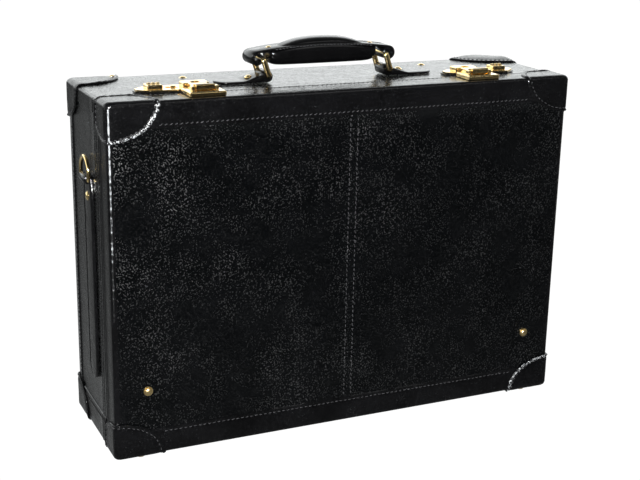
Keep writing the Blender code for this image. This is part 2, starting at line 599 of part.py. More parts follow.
def grip(leather):
    bm = bmesh.new()
    sides, stations = 14, 15
    loops = []
    for i in range(stations):
        x = -ROLL_X + 2 * ROLL_X * i / (stations - 1)
        half_wide, half_thick, centre = grip_station(x)
        loop = []
        for k in range(sides):
            t = 2 * math.pi * k / sides
            # a rounded box section rather than an ellipse: its sides stay fairly upright
            y = math.copysign(abs(math.cos(t)) ** 0.75, math.cos(t)) * half_wide
            z = math.copysign(abs(math.sin(t)) ** 0.85, math.sin(t)) * half_thick
            loop.append(bm.verts.new((GRIP_X + x, y, centre + z)))
        loops.append(loop)
    bm.faces.new(loops[0])
    bm.faces.new(loops[-1])
    for a, b in zip(loops, loops[1:]):
        for k in range(sides):
            n = (k + 1) % sides
            bm.faces.new((a[k], a[n], b[n], b[k]))
    made = solid("handle_grip", bm, leather, (GRIP_X - RING_X, 0, RING_HIGH), smooth=True)
    for name, side in (("left", -1), ("right", 1)):
        place = (GRIP_X + side * ROLL_X, 0, RING_HIGH)
        roll = cylinder(place, ROLL_RADIUS, 2 * GRIP_HALF - GAP, "Y", 20, 0.8)
        boolean(made, cutter(f"grip_roll_{name}", roll), "UNION")
        bore = cylinder((GRIP_X + side * RING_X, 0, RING_HIGH), RING_WIRE + 0.7, BORE_LENGTH, "Y", 14)
        boolean(made, cutter(f"grip_bore_{name}", bore))


# ---------------------------------------------------------------- side straps

def side_straps(leather, brass):
    for name, side in (("left", -1), ("right", 1)):
        outline = arc(STRAP_Y, STRAP_LOW + STRAP_HALF, STRAP_HALF, 180, 360, 12)
        shoulder = STRAP_HIGH - STRAP_TAPER
        outline += [(STRAP_Y + STRAP_HALF, shoulder), (STRAP_Y + SIDE_LOOP_HALF, STRAP_HIGH),
                    (STRAP_Y - SIDE_LOOP_HALF, STRAP_HIGH), (STRAP_Y - STRAP_HALF, shoulder)]
        x = span(side * (HALF_W + GAP), side * (HALF_W + GAP + STRAP_THICK))
        strap = solid(f"side_strap_{name}", prism(outline, *x, "YZ"), leather, (x[0], STRAP_Y, STRAP_HIGH))
        axis = (side * SIDE_AXIS_X, STRAP_Y, STRAP_HIGH)
        loop = cylinder(axis, SIDE_LOOP_RADIUS, 2 * SIDE_LOOP_HALF, "Y", 16)
        boolean(strap, cutter(f"strap_loop_{name}", loop), "UNION")
        bore = cylinder(axis, D_WIRE + 0.4, BORE_LENGTH, "Y", 12)
        boolean(strap, cutter(f"strap_bore_{name}", bore))
        yz = arc(-D_HALF + D_CORNER, D_CORNER, D_CORNER, 180, 270, 3)
        yz += arc(D_HALF - D_CORNER, D_CORNER, D_CORNER, -90, 0, 3)
        yz += arc(0, D_LEG, D_HALF, 0, 180, 12)
        points = [(axis[0], STRAP_Y + a, STRAP_HIGH + b) for a, b in yz]
        wire_loop(f"side_dring_{name}", points, D_WIRE, brass, axis)


def build():
    clear_scene()
    leather = material("black_leather", (0.012, 0.012, 0.013), 0.38)
    trim = material("trim_leather", (0.010, 0.010, 0.010), 0.45)
    suede = material("tan_suede", (0.30, 0.19, 0.10), 0.9)
    brass = material("polished_brass", (0.83, 0.62, 0.25), 0.18, 1.0)
    steel = material("hinge_steel", (0.60, 0.55, 0.42), 0.30, 1.0)
    dial_brass = material("dial_brass", (0.75, 0.60, 0.30), 0.35, 1.0)
    lid = axis_empty("lid_hinge_axis", lid_axis())
    shells(leather, lid)
    linings(suede, trim, lid)
    corner_caps(trim, lid)
    feet_and_studs(brass, lid)
    hinge(steel, lid)
    stays(brass, lid)
    locks(brass, trim, dial_brass)
    hasps(brass, lid)
    tabs_and_rings(trim, brass)
    grip(trim)
    side_straps(trim, brass)


build()
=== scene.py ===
"""The looks of a black leather attache case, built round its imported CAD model.

Shapes are made in millimetres, in the CAD frame, and scaled to metres when they become objects. Places come
from the CAD nodes' boxes. The lid's leather faces -Y, the base is behind it, and the handle is on top.
"""
import json
import math

import bmesh
import bpy
from mathutils import Matrix, Vector, noise

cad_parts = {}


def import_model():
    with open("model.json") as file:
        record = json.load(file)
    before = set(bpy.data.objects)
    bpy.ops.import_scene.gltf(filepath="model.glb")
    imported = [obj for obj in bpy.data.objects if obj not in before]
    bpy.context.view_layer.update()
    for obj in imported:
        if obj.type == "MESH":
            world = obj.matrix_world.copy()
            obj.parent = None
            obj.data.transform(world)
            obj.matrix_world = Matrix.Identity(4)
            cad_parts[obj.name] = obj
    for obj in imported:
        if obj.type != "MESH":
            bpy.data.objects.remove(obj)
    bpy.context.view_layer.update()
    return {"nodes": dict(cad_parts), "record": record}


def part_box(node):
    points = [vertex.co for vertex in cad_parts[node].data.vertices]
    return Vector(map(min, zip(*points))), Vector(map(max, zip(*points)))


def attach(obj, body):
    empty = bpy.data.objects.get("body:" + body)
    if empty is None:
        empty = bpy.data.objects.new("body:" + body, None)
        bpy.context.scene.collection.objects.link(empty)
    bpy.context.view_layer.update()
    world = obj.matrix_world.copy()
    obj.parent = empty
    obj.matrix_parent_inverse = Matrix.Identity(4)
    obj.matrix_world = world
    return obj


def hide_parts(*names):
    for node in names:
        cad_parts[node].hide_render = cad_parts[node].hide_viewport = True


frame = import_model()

MM = 0.001
SIDES = (("left", -1), ("right", 1))


def node_box(node):
    """Lowest and highest corner of a CAD node in millimetres."""
    low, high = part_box(node)
    return low / MM, high / MM


def joint_place(name):
    """Where a joint of the record is, in millimetres."""
    for joint in frame["record"]["behaviour"]["joints"]:
        if joint["name"] == name:
            return Vector(joint["pos_m"]) / MM
    raise KeyError(name)


# ---- places, in millimetres

LID_LOW, LID_HIGH = node_box("lid_shell")
BASE_LOW, BASE_HIGH = node_box("base_shell")
HALF_W = LID_HIGH.x
FRONT, LID_BACK = LID_LOW.y, LID_HIGH.y
SEAM, BACK = BASE_LOW.y, BASE_HIGH.y
BOTTOM, TOP = LID_LOW.z, LID_HIGH.z
CENTRE = Vector((0, (FRONT + BACK) / 2, (BOTTOM + TOP) / 2))

EDGE = Vector((5.0, 3.2, 3.2))  # radii of the leather round the case's edges: wider round the upright ones
WALL, PANEL = 5.0, 4.0  # wall thickness of the shells at the sides, and at the front and back
BAND_PROUD = 0.5  # how far the bindings stand above the CAD faces
PANEL_SUNK = 0.35  # how far the panels lie below the CAD faces
TOP_EDGE, LOW_EDGE = TOP - 23.0, BOTTOM + 24.0  # edges of the bindings on the front and back
SIDE_TOP_EDGE, SIDE_LOW_EDGE = TOP - 14.0, BOTTOM + 28.0  # edges of the bindings on the sides
REAR_BAND = 16.0  # width of the binding at the rear of the sides
REAR_EDGE = BACK - REAR_BAND
REAR_FALL = 1.6  # how far the rear bindings on the sides fall away towards the back
LID_CREASES = (LID_BACK - 4.0, LID_BACK - 9.0)  # raised lines down the sides, near the seam
BASE_CREASES = (SEAM + 4.0, SEAM + 10.0)
RIDGE_Z = SIDE_LOW_EDGE - 5.0  # a ridge along the lower binding of the sides
SEAM_ROWS = 3.7  # distance of the centre seam's stitch rows from the middle
STITCH_IN = 3.2  # distance of a stitch row from the edge it follows
STITCH_PITCH, STITCH_LONG, STITCH_WIDE, STITCH_HIGH = 4.6, 3.0, 0.42, 0.34
UPPER_ROW, LOWER_ROW = TOP_EDGE + STITCH_IN, LOW_EDGE - STITCH_IN  # the stitch rows in the bindings

CAP_LOW = node_box("cap_base_top_right")[0]
CAP_WIDE, CAP_DEEP, CAP_TALL = HALF_W - CAP_LOW.x, BACK - CAP_LOW.y, TOP - CAP_LOW.z

STRAP_LOW, STRAP_HIGH = node_box("side_strap_right")
STRAP_Y = (STRAP_LOW.y + STRAP_HIGH.y) / 2
STRAP_THICK = 1.9
LOOP_HALF = 10.0  # half the length of the leather loops that hold the rings

RING_FOOT = joint_place("handle_ring_left_lean")
RING_TOP = joint_place("handle_swing")
RING_X = -RING_FOOT.x
RING_WIRE = 1.7  # radius of the handle rings' wire
TAB_FLOOR = TOP + 0.3  # the level on which the handle's tabs lie
RING_LEAN = math.atan2(RING_FOOT.x - RING_TOP.x, RING_TOP.z - RING_FOOT.z)
GRIP_MIDDLE = RING_TOP.x - RING_FOOT.x  # the grip's middle, moved sideways by the lean of its rings
ROLL_RADIUS = 7.0  # the rolled ends of the grip's strap, and their distance from its middle
GRIP_LOW, GRIP_HIGH = node_box("handle_grip")
ROLL_X = (GRIP_HIGH.x - GRIP_LOW.x) / 2 - ROLL_RADIUS


# ---- small helpers

def smooth_step(low, high, value):
    """0 at low and 1 at high, easing between them; high may be the smaller one."""
    t = min(max((value - low) / (high - low), 0.0), 1.0)
    return t * t * (3 - 2 * t)


def bump(value, middle, width):
    """A smooth hump of height 1 at middle that is nothing beyond width on either side."""
    t = abs(value - middle) / width
    return (1 - t * t) ** 2 if t < 1 else 0.0


def ripple(place, scale, seed=0.0):
    """Smooth noise between about -1 and 1, with features of about scale millimetres."""
    return noise.noise(Vector(place) / scale + Vector((seed, seed * 0.37, -seed)))


def arc(cx, cy, radius, start, end, steps):
    """Points of an arc, angles in degrees."""
    turns = [math.radians(start + (end - start) * i / steps) for i in range(steps + 1)]
    return [(cx + radius * math.cos(t), cy + radius * math.sin(t)) for t in turns]


def circle(radius, count):
    """Points round a whole circle."""
    turns = [2 * math.pi * k / count for k in range(count)]
    return [(radius * math.cos(t), radius * math.sin(t)) for t in turns]


def blunt(value, power):
    """A cosine or sine raised to a power below 1, with its sign: it squares off a round outline."""
    return math.copysign(abs(value) ** power, value)


def new_object(name, data):
    obj = bpy.data.objects.new(name, data)
    bpy.context.scene.collection.objects.link(obj)
    return obj


def piece(name, verts, faces, finish, body, slot, replaces=(), kinds=(), sharp=40):
    """Makes an object from a mesh in millimetres, and tells the frame which body it rides on."""
    mesh = bpy.data.meshes.new(name)
    mesh.from_pydata([tuple(Vector(v) * MM) for v in verts], [], faces)
    for one in finish if isinstance(finish, list) else [finish]:
        mesh.materials.append(one)
    for polygon, index in zip(mesh.polygons, kinds):
        polygon.material_index = index
    mesh.validate()
    bm = bmesh.new()
    bm.from_mesh(mesh)
    bmesh.ops.recalc_face_normals(bm, faces=bm.faces)
    bm.to_mesh(mesh)
    bm.free()
    mesh.shade_smooth()
    mesh.set_sharp_from_angle(angle=math.radians(sharp))
    obj = new_object(name, mesh)
    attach(obj, body)
    if replaces:
        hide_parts(*replaces)
    return obj


def gather(parts):
    """Joins (verts, faces) lists into one."""
    verts, faces = [], []
    for part_verts, part_faces in parts:
        start = len(verts)
        verts += part_verts
        faces += [tuple(start + i for i in face) for face in part_faces]
    return verts, faces


def loft(loops, closed_ends=True, cyclic=False):
    """Skins equal loops of points. Ends are closed with a fan, unless the loft is cyclic."""
    verts = [p for loop in loops for p in loop]
    count, total = len(loops[0]), len(loops)
    faces = []
    for i in range(total if cyclic else total - 1):
        a, b = i * count, (i + 1) % total * count
        for k in range(count):
            n = (k + 1) % count
            faces.append((a + k, a + n, b + n, b + k))
    if closed_ends and not cyclic:
        for start, order in ((0, -1), ((total - 1) * count, 1)):
            middle = sum((Vector(v) for v in verts[start:start + count]), Vector()) / count
            verts.append(middle)
            for k in range(count):
                n = (k + 1) % count
                pair = (start + k, start + n) if order > 0 else (start + n, start + k)
                faces.append((*pair, len(verts) - 1))
    return verts, faces


def turned(place, axis, profile, sides=24):
    """A round piece: profile is (radius, height) from its foot to its tip, along axis from place."""
    axis = Vector(axis).normalized()
    across = axis.orthogonal().normalized()
    other = axis.cross(across)
    return loft([[Vector(place) + axis * height + across * a + other * b for a, b in circle(radius, sides)]
                 for radius, height in profile])


def dome_profile(radius, height, brim=0.0):
    """A rivet or stud: a low rim, a groove where it has a brim, then a round head."""
    points = [(radius, 0.0), (radius, 0.25 * height), (radius * 0.97, 0.36 * height)]
    if brim:
        points += [(radius - brim, 0.34 * height), (radius - brim * 1.2, 0.40 * height)]
        radius -= brim * 1.2
    steps = 8
    for i in range(1, steps):
        t = math.pi / 2 * i / steps
        points.append((radius * math.cos(t), height * (0.4 + 0.6 * math.sin(t))))
    return points + [(0.02, height)]


def swept(points, outline, cyclic, up):
    """Sweeps an outline of (side, up) points, or a function that gives it for each step, along a path.

    up is a direction that the path doesn't follow.
    """
    loops = []
    total = len(points)
    for i, point in enumerate(points):
        before = points[i - 1] if i or cyclic else point
        after = points[(i + 1) % total] if i < total - 1 or cyclic else point
        along = (Vector(after) - Vector(before)).normalized()
        side = along.cross(Vector(up)).normalized()
        rise = side.cross(along).normalized()
        shape = outline(i) if callable(outline) else outline
        loops.append([Vector(point) + side * a + rise * b for a, b in shape])
    return loft(loops, cyclic=cyclic)


def stitch(place, along, out, length):
    """One thread loop lying on the leather: a slim loaf whose ends dive into their holes."""
    along, out = Vector(along).normalized(), Vector(out).normalized()
    side = out.cross(along)
    loops = []
    for t, thick, rise in ((-0.5, 0.45, -0.7), (-0.36, 0.9, 0.35), (0.0, 1.0, 0.75), (0.36, 0.9, 0.35),
                           (0.5, 0.45, -0.7)):
        middle = Vector(place) + along * (t * length) + out * (rise * STITCH_HIGH)
        loops.append([middle + side * (STITCH_WIDE * a) + out * (STITCH_HIGH * b)
                      for a, b in circle(thick, 6)])
    return loft(loops)


def stitch_row(points, outs, pitch=STITCH_PITCH, slant=0.0, length=STITCH_LONG):
    """Stitches at an even pitch along a polyline of points with their outward directions."""
    parts, travelled, due = [], 0.0, pitch / 2
    for (a, b), (out_a, out_b) in zip(zip(points, points[1:]), zip(outs, outs[1:])):
        a, b = Vector(a), Vector(b)
        gap = (b - a).length
        while gap > 1e-6 and due <= travelled + gap:
            t = (due - travelled) / gap
            out = Vector(out_a).lerp(Vector(out_b), t)
            along = (b - a).normalized()
            along = Matrix.Rotation(slant, 3, out) @ along
            parts.append(stitch(a.lerp(b, t), along, out, length))
            due += pitch
        travelled += gap
    return parts


# ---- materials

class Nodes:
    """A short hand for building the node tree of a material or a world."""

    def __init__(self, owner):
        owner.use_nodes = True
        self.owner, self.tree = owner, owner.node_tree

    def feed(self, socket, value):
        """Links a source to an input, or gives the input a value."""
        if isinstance(value, bpy.types.NodeSocket):
            self.tree.links.new(value, socket)
        else:
            socket.default_value = value

    def add(self, kind, **values):
        """A new node. Each value is for the input of that name or, where there is none, a setting."""
        node = self.tree.nodes.new(kind)
        for key, value in values.items():
            if key in node.inputs:
                self.feed(node.inputs[key], value)
            else:
                setattr(node, key, value)
        return node

    def shade(self, **values):
        shader = self.tree.nodes["Principled BSDF"]
        for key, value in values.items():
            self.feed(shader.inputs[key.replace("_", " ")], value)

    def place(self):
        return self.add("ShaderNodeTexCoord").outputs["Object"]

    def noise(self, scale, detail, rough=0.5):
        node = self.add("ShaderNodeTexNoise", Vector=self.place(), Scale=scale, Detail=detail,
                        Roughness=rough)
        return node.outputs["Fac"]

    def cells(self, scale):
        node = self.add("ShaderNodeTexVoronoi", feature="SMOOTH_F1", Vector=self.place(), Scale=scale)
        return node.outputs["Distance"]

    def span(self, source, low, high, to_low, to_high, kind="LINEAR"):
        node = self.add("ShaderNodeMapRange", interpolation_type=kind, Value=source)
        for socket, value in zip(node.inputs[1:5], (low, high, to_low, to_high)):
            socket.default_value = value
        return node.outputs["Result"]

    def math(self, operation, a, b):
        node = self.add("ShaderNodeMath", operation=operation)
        for socket, value in zip(node.inputs, (a, b)):
            self.feed(socket, value)
        return node.outputs[0]

    def mixed(self, factor, first, second):
        """Mixes two colours; each is three numbers or a source."""
        node = self.add("ShaderNodeMix", data_type="RGBA", Factor=factor)
        for socket, colour in zip(node.inputs[6:8], (first, second)):
            self.feed(socket, (*colour, 1.0) if isinstance(colour, tuple) else colour)
        return node.outputs[2]

    def bump(self, height, strength, distance, normal=None):
        node = self.add("ShaderNodeBump", Strength=strength, Distance=distance, Height=height)
        if normal:
            self.feed(node.inputs["Normal"], normal)
        return node.outputs["Normal"]


def leather(name, dark, light, rough, grain, depth, painted_glints, dull, soft=0.25, glint_colour=(0.011, 0.012, 0.013),
            ior=1.5):
    """Glossy grained leather whose grain tops are dull and painted a little lighter, as glints.

    grain is the size of a pebble and depth its height, in metres. The span given after depth is that of the
    noise in which the grain's tops turn dull and take the lighter colour, a painted glint: lower is more. The
    colour given for the grain's tops is that painted glint colour. soft is how much the leather undulates.
    """
    n = Nodes(bpy.data.materials.new(name))
    n.shade(IOR=ior, Coat_Weight=0.05, Coat_Roughness=0.12, Coat_IOR=1.45)
    cloud = n.span(n.noise(28.0, 4.0, 0.6), 0.35, 0.7, 0.0, 1.0)
    patchy = n.span(n.noise(24.0, 3.0, 0.6), 0.35, 0.65, 0.35, 1.0)
    glint_peaks = n.math("MULTIPLY", n.span(n.noise(1.0 / grain, 1.0), *painted_glints, 0.0, 1.0), patchy)
    uneven = n.span(n.noise(0.15 / grain, 2.0), 0.3, 0.75, rough - 0.04, rough + 0.07)
    height = n.math("ADD", n.math("MULTIPLY", n.cells(0.8 / grain), -0.55), n.noise(1.0 / grain, 1.0, 0.4))
    slow = n.bump(n.noise(60.0, 3.0), soft, 0.003)
    # painted glints: the tops of the grain take a lighter colour that stands in for sparkles of light
    n.shade(Base_Color=n.mixed(glint_peaks, n.mixed(cloud, dark, light), glint_colour),
            Roughness=n.math("ADD", uneven, n.math("MULTIPLY", glint_peaks, dull - rough)),
            Specular_IOR_Level=n.span(glint_peaks, 0.0, 1.0, 0.18, 1.0), Normal=n.bump(height, 1.0, depth, slow))
    return n.owner


def edge_highlight(name, dark, pale):
    """Leather of the upright edges with a painted highlight: pale on the left one at the top, and less and
    less further down.
    """
    n = Nodes(bpy.data.materials.new(name))
    x, _, z = n.add("ShaderNodeSeparateXYZ", Vector=n.place()).outputs
    height = n.span(z, 0.14, 0.31, -0.12, 0.20)
    left = n.span(x, -0.1, 0.1, 0.0, -1.0)
    # painted highlight: the edge turns pale towards the top and on the left side
    painted_highlight = n.span(n.math("ADD", n.noise(260.0, 2.0), n.math("ADD", height, left)), 0.50, 0.72, 0.0, 1.0)
    n.shade(Base_Color=n.mixed(painted_highlight, dark, pale), Roughness=0.35,
            Normal=n.bump(n.noise(700.0, 2.0), 1.0, 0.0004))
    return n.owner


def metal(name, colour, tarnish, rough):
    """Polished metal with faint swirl marks and slightly uneven lacquer."""
    n = Nodes(bpy.data.materials.new(name))
    cloud = n.span(n.noise(190.0, 4.0, 0.6), 0.45, 0.8, 0.0, 1.0)
    n.shade(Metallic=1.0, Coat_Weight=0.15, Coat_Roughness=0.08, Base_Color=n.mixed(cloud, colour, tarnish),
            Roughness=n.span(n.noise(420.0, 4.0, 0.7), 0.3, 0.8, rough - 0.05, rough + 0.1),
            Normal=n.bump(n.noise(350.0, 2.0), 0.25, 0.0004))
    return n.owner


def suede(name, dark, light):
    """Brushed leather: clouded, with a fine nap and a sheen."""
    n = Nodes(bpy.data.materials.new(name))
    nap = n.math("ADD", n.noise(70.0, 4.0, 0.7), n.math("MULTIPLY", n.noise(2600.0, 2.0, 0.6), 0.5))
    n.shade(Roughness=0.92, Sheen_Weight=0.35, Sheen_Roughness=0.5,
            Base_Color=n.mixed(n.span(nap, 0.5, 1.0, 0.0, 1.0), dark, light),
            Normal=n.bump(n.noise(3200.0, 3.0, 0.7), 0.5, 0.0003))
    return n.owner


def thread(name, dark, light):
    n = Nodes(bpy.data.materials.new(name))
    n.shade(Roughness=0.45, Base_Color=n.mixed(n.noise(900.0, 2.0), dark, light),
            Normal=n.bump(n.noise(2400.0, 2.0), 0.6, 0.0002))
    return n.owner


PANEL_LEATHER = leather("panel_leather", (0.0004, 0.0005, 0.0006), (0.0010, 0.0011, 0.0013), rough=0.14,
                        grain=0.0015, depth=0.00022, painted_glints=(0.54, 0.66), dull=0.4,
                        glint_colour=(0.0025, 0.0027, 0.003), ior=1.7)
TRIM_LEATHER = leather("trim_leather_black", (0.0009, 0.0009, 0.0010), (0.0024, 0.0024, 0.0027), rough=0.20,
                       grain=0.0011, depth=0.00014, painted_glints=(0.60, 0.90), dull=0.34)
SMOOTH_LEATHER = leather("handle_leather", (0.0012, 0.0012, 0.0013), (0.0024, 0.0024, 0.0026), rough=0.16,
                         grain=0.0009, depth=0.00006, painted_glints=(0.75, 1.0), dull=0.3, soft=0.12)
# the pale tops of this leather's grain are painted glints, for the rims of two front corner caps
GLINT_PAINTED_LEATHER = leather("glint_painted_leather_edge", (0.003, 0.003, 0.0032), (0.006, 0.006, 0.0065), rough=0.25,
                       grain=0.0020, depth=0.00090, painted_glints=(0.45, 0.62), dull=0.36, soft=0.12,
                       glint_colour=(0.28, 0.29, 0.30))
# painted highlight along the upright edge piping
HIGHLIGHT_EDGE_LEATHER = edge_highlight("edge_leather_painted_highlight", (0.003, 0.003, 0.0032), (0.26, 0.27, 0.28))
THREAD = thread("waxed_thread", (0.009, 0.0092, 0.010), (0.032, 0.032, 0.034))
BRASS = metal("polished_brass", (0.93, 0.72, 0.36), (0.80, 0.56, 0.22), 0.11)
SATIN_BRASS = metal("satin_brass", (0.93, 0.72, 0.36), (0.80, 0.56, 0.22), 0.30)
DIAL_BRASS = metal("dial_brass_satin", (0.80, 0.62, 0.32), (0.55, 0.38, 0.16), 0.28)
STEEL = metal("brassed_steel", (0.66, 0.56, 0.36), (0.45, 0.38, 0.25), 0.3)
SUEDE = suede("tan_suede", (0.235, 0.15, 0.082), (0.32, 0.21, 0.12))


# ---- the leather shells

def grid_lines(low, high, spacing, marks, radius, round_low=True, round_high=True):
    """Grid coordinates over a face: even ones, more round each mark, and fine ones in the round edges."""
    first = low + (radius if round_low else 0)
    last = high - (radius if round_high else 0)
    count = max(1, round((last - first) / spacing))
    made = [first + (last - first) * i / count for i in range(count + 1)]
    near = [m + d for m in marks for d in (-1.6, -0.8, -0.3, 0.3, 0.8, 1.6)]
    made = [v for v in made if all(abs(v - m) > 1.0 for m in near) or v in (first, last)]
    made += [v for v in near if first < v < last]
    bends = [radius * math.tan(math.radians(a)) for a in (11.25, 22.5, 33.75, 45)]
    if round_low:
        made += [first - b for b in bends]
    if round_high:
        made += [last + b for b in bends]
    return sorted({round(v, 3) for v in made})


def rounded(away, radii):
    """Moves a point, given from the core of a box's corner, onto its rounding: the point and its normal."""
    unit = Vector(away[i] / radii[i] for i in range(3)).normalized()
    place = Vector(unit[i] * radii[i] for i in range(3))
    return place, Vector(unit[i] / radii[i] for i in range(3)).normalized()


def shell(low, high, seam_high, lines, relief, finish_of):
    """A tray of leather-covered board, open at the seam: rounded outside, square inside.

    lines are the grid coordinates along X, Y and Z. relief(point, face) is how far the outer skin stands out.
    """
    index, outer, inner, faces, kinds = {}, [], [], [], []
    seam = high.y if seam_high else low.y
    panel = low.y if seam_high else high.y
    inside_low = Vector((low.x + WALL, panel + PANEL if seam_high else seam, low.z + WALL))
    inside_high = Vector((high.x - WALL, seam if seam_high else panel - PANEL, high.z - WALL))

    def vertex(point, face):
        key = tuple(round(c, 2) for c in point)
        if key in index:
            return index[key]
        core = Vector(min(max(point[i], low[i] + EDGE[i]), high[i] - EDGE[i]) for i in range(3))
        if abs(point[1] - panel) > EDGE.y:
            core.y = point[1]
        place, out = rounded(Vector(point) - core, EDGE)
        index[key] = len(outer)
        outer.append(core + place + out * relief(point, face))
        share = Vector((point[i] - low[i]) / (high[i] - low[i]) for i in range(3))
        inner.append(Vector(inside_low[i] + share[i] * (inside_high[i] - inside_low[i]) for i in range(3)))
        return index[key]

    for face, axis, level in (("panel", 1, panel), ("bottom", 2, low.z), ("top", 2, high.z),
                              ("left", 0, low.x), ("right", 0, high.x)):
        u, v = [a for a in range(3) if a != axis]
        for u0, u1 in zip(lines[u], lines[u][1:]):
            for v0, v1 in zip(lines[v], lines[v][1:]):
                corners = []
                for a, b in ((u0, v0), (u1, v0), (u1, v1), (u0, v1)):
                    point = [0.0, 0.0, 0.0]
                    point[u], point[v], point[axis] = a, b, level
                    corners.append(vertex(point, face))
                faces.append(tuple(corners))
                kinds.append(finish_of(face, (u0 + u1) / 2, (v0 + v1) / 2))
    count = len(outer)
    border = {}
    for face in faces:
        for a, b in zip(face, face[1:] + face[:1]):
            pair = frozenset((a, b))
            border[pair] = border.get(pair, 0) + 1
    whole = list(faces) + [tuple(count + i for i in face) for face in faces]
    kinds += [0] * len(faces)
    for pair, uses in border.items():
        if uses == 1:
            a, b = pair
            whole.append((a, b, count + b, count + a))
            kinds.append(1)
    return outer + inner, whole, kinds


def band_edge(value, edge, sign, place, seed):
    """1 on the band's side of its turned edge, 0 beyond it. The edge wanders a little."""
    edge += 0.25 * ripple(place, 22.0, seed)
    return smooth_step(-0.28, 0.28, sign * (value - edge))


def softness(point, seed):
    """The slight unevenness of leather glued over board."""
    return 0.22 * ripple(point, 60.0, seed) + 0.10 * ripple(point, 17.0, seed + 3.1)


def level_of(band):
    """Height of the leather: the sunk panel where band is 0, the binding where it is 1."""
    return -PANEL_SUNK + (BAND_PROUD + PANEL_SUNK) * band


def panel_shape(point, upper_seed, lower_seed, soft_seed):
    """Where the front and back have their bindings, and their unevenness, which fades towards the edges."""
    x, _, z = point
    band = max(band_edge(z, TOP_EDGE, 1, point, upper_seed), band_edge(z, LOW_EDGE, -1, point, lower_seed))
    inside = bump(x, 0, HALF_W) * bump(z, CENTRE.z, (TOP - BOTTOM) / 2)
    return band, softness(point, soft_seed) * min(1.0, inside * 4)


def front_relief(point, face):
    x, y, z = point
    if face == "panel":
        band, uneven = panel_shape(point, 1.7, 5.2, 2.0)
        height = level_of(band)
        height += 0.35 * bump(x, 0, 3.0) * (1 - band) - 0.30 * bump(abs(x), SEAM_ROWS, 1.2) * (1 - band)
        height += 0.45 * bump(z, TOP_EDGE - 0.8, 1.0)
        for row in (UPPER_ROW, LOWER_ROW):
            height -= 0.22 * bump(z, row, 1.3)
        return height + uneven
    if face in ("top", "bottom"):
        return BAND_PROUD - 0.25 * bump(y, LID_BACK - STITCH_IN, 1.2)
    return -0.1 + 0.5 * bump(y, LID_CREASES[0], 1.4) + 0.5 * bump(y, LID_CREASES[1], 1.3)


def base_relief(point, face):
    x, y, z = point
    if face == "panel":
        band, uneven = panel_shape(point, 11.7, 15.2, 7.0)
        return level_of(band) + uneven - REAR_FALL * max(0.0, 1 - (HALF_W - abs(x)) / 8.0) ** 2
    if face in ("top", "bottom"):
        return -0.1
    rear = band_edge(y, REAR_EDGE, 1, point, 6.0)
    upper = band_edge(z, SIDE_TOP_EDGE, 1, point, 7.0)
    lower = band_edge(z, SIDE_LOW_EDGE, -1, point, 9.0)
    height = level_of(max(rear, upper, lower)) + 0.5 * bump(z, RIDGE_Z, 1.5) * (1 - rear)
    lines = 0.5 * bump(y, BASE_CREASES[0], 1.4) + 0.4 * bump(y, BASE_CREASES[1], 1.3)
    fall = REAR_FALL * max(0.0, 1 - (BACK - y) / REAR_BAND) ** 2
    return height + lines + 0.3 * softness(point, 9.0) - fall


def front_finish(face, u, v):
    """0 for grained panel leather, 1 for the smoother bindings."""
    return 0 if face == "panel" and LOW_EDGE < v < TOP_EDGE and abs(u) < HALF_W - EDGE.x else 1


def base_finish(face, u, v):
    if face == "panel":
        return front_finish(face, u, v)
    if face in ("top", "bottom"):
        return 0
    return 0 if u < REAR_EDGE and SIDE_LOW_EDGE < v < SIDE_TOP_EDGE else 1


def subtract(obj, cutter):
    """Cuts a mesh object out of a piece and removes it."""
    step = obj.modifiers.new("cut", "BOOLEAN")
    step.object = cutter
    step.solver = "EXACT"
    bpy.context.view_layer.objects.active = obj
    with bpy.context.temp_override(object=obj, active_object=obj):
        bpy.ops.object.modifier_apply(modifier=step.name)
    bpy.data.objects.remove(cutter)


def plain_box(name, low, high):
    bm = bmesh.new()
    bmesh.ops.create_cube(bm, size=1.0)
    bmesh.ops.scale(bm, vec=(Vector(high) - Vector(low)) * MM, verts=bm.verts)
    bmesh.ops.translate(bm, vec=(Vector(high) + Vector(low)) / 2 * MM, verts=bm.verts)
    mesh = bpy.data.meshes.new(name)
    bm.to_mesh(mesh)
    bm.free()
    return new_object(name, mesh)


def leather_shells():
    """The skins of lid and base, with room for the hinge between them."""
    bands_z = [TOP_EDGE, LOW_EDGE, UPPER_ROW, LOWER_ROW]
    side_z = [SIDE_TOP_EDGE, SIDE_LOW_EDGE, RIDGE_Z]
    spacing, lid_spacing = 11.0, 6.0
    x_lines = grid_lines(-HALF_W, HALF_W, spacing, [-SEAM_ROWS, 0.0, SEAM_ROWS], EDGE.x)
    lid_y = grid_lines(FRONT, LID_BACK, lid_spacing, LID_CREASES, EDGE.y, True, False)
    base_y = grid_lines(SEAM, BACK, spacing, (REAR_EDGE, *BASE_CREASES), EDGE.y, False, True)
    lid_z = grid_lines(BOTTOM, TOP, spacing, bands_z, EDGE.z)
    base_z = grid_lines(BOTTOM, TOP, spacing, bands_z + side_z, EDGE.z)
    leaf_low, leaf_high = node_box("hinge_leaf_lid")
    for body, low, high, lines, relief, finish_of in (
            ("lid", LID_LOW, LID_HIGH, (x_lines, lid_y, lid_z), front_relief, front_finish),
            ("base", BASE_LOW, BASE_HIGH, (x_lines, base_y, base_z), base_relief, base_finish)):
        node = body + "_shell"
        verts, faces, kinds = shell(low, high, body == "lid", lines, relief, finish_of)
        made = piece(node + "_leather", verts, faces, [PANEL_LEATHER, TRIM_LEATHER], body, "case_leather",
                     (node,), kinds, 50)
        subtract(made, plain_box("hinge_room", (leaf_low.x - 1, SEAM - 3, BOTTOM - 5),
                                 (leaf_high.x + 1, SEAM + 3, BOTTOM + 3)))


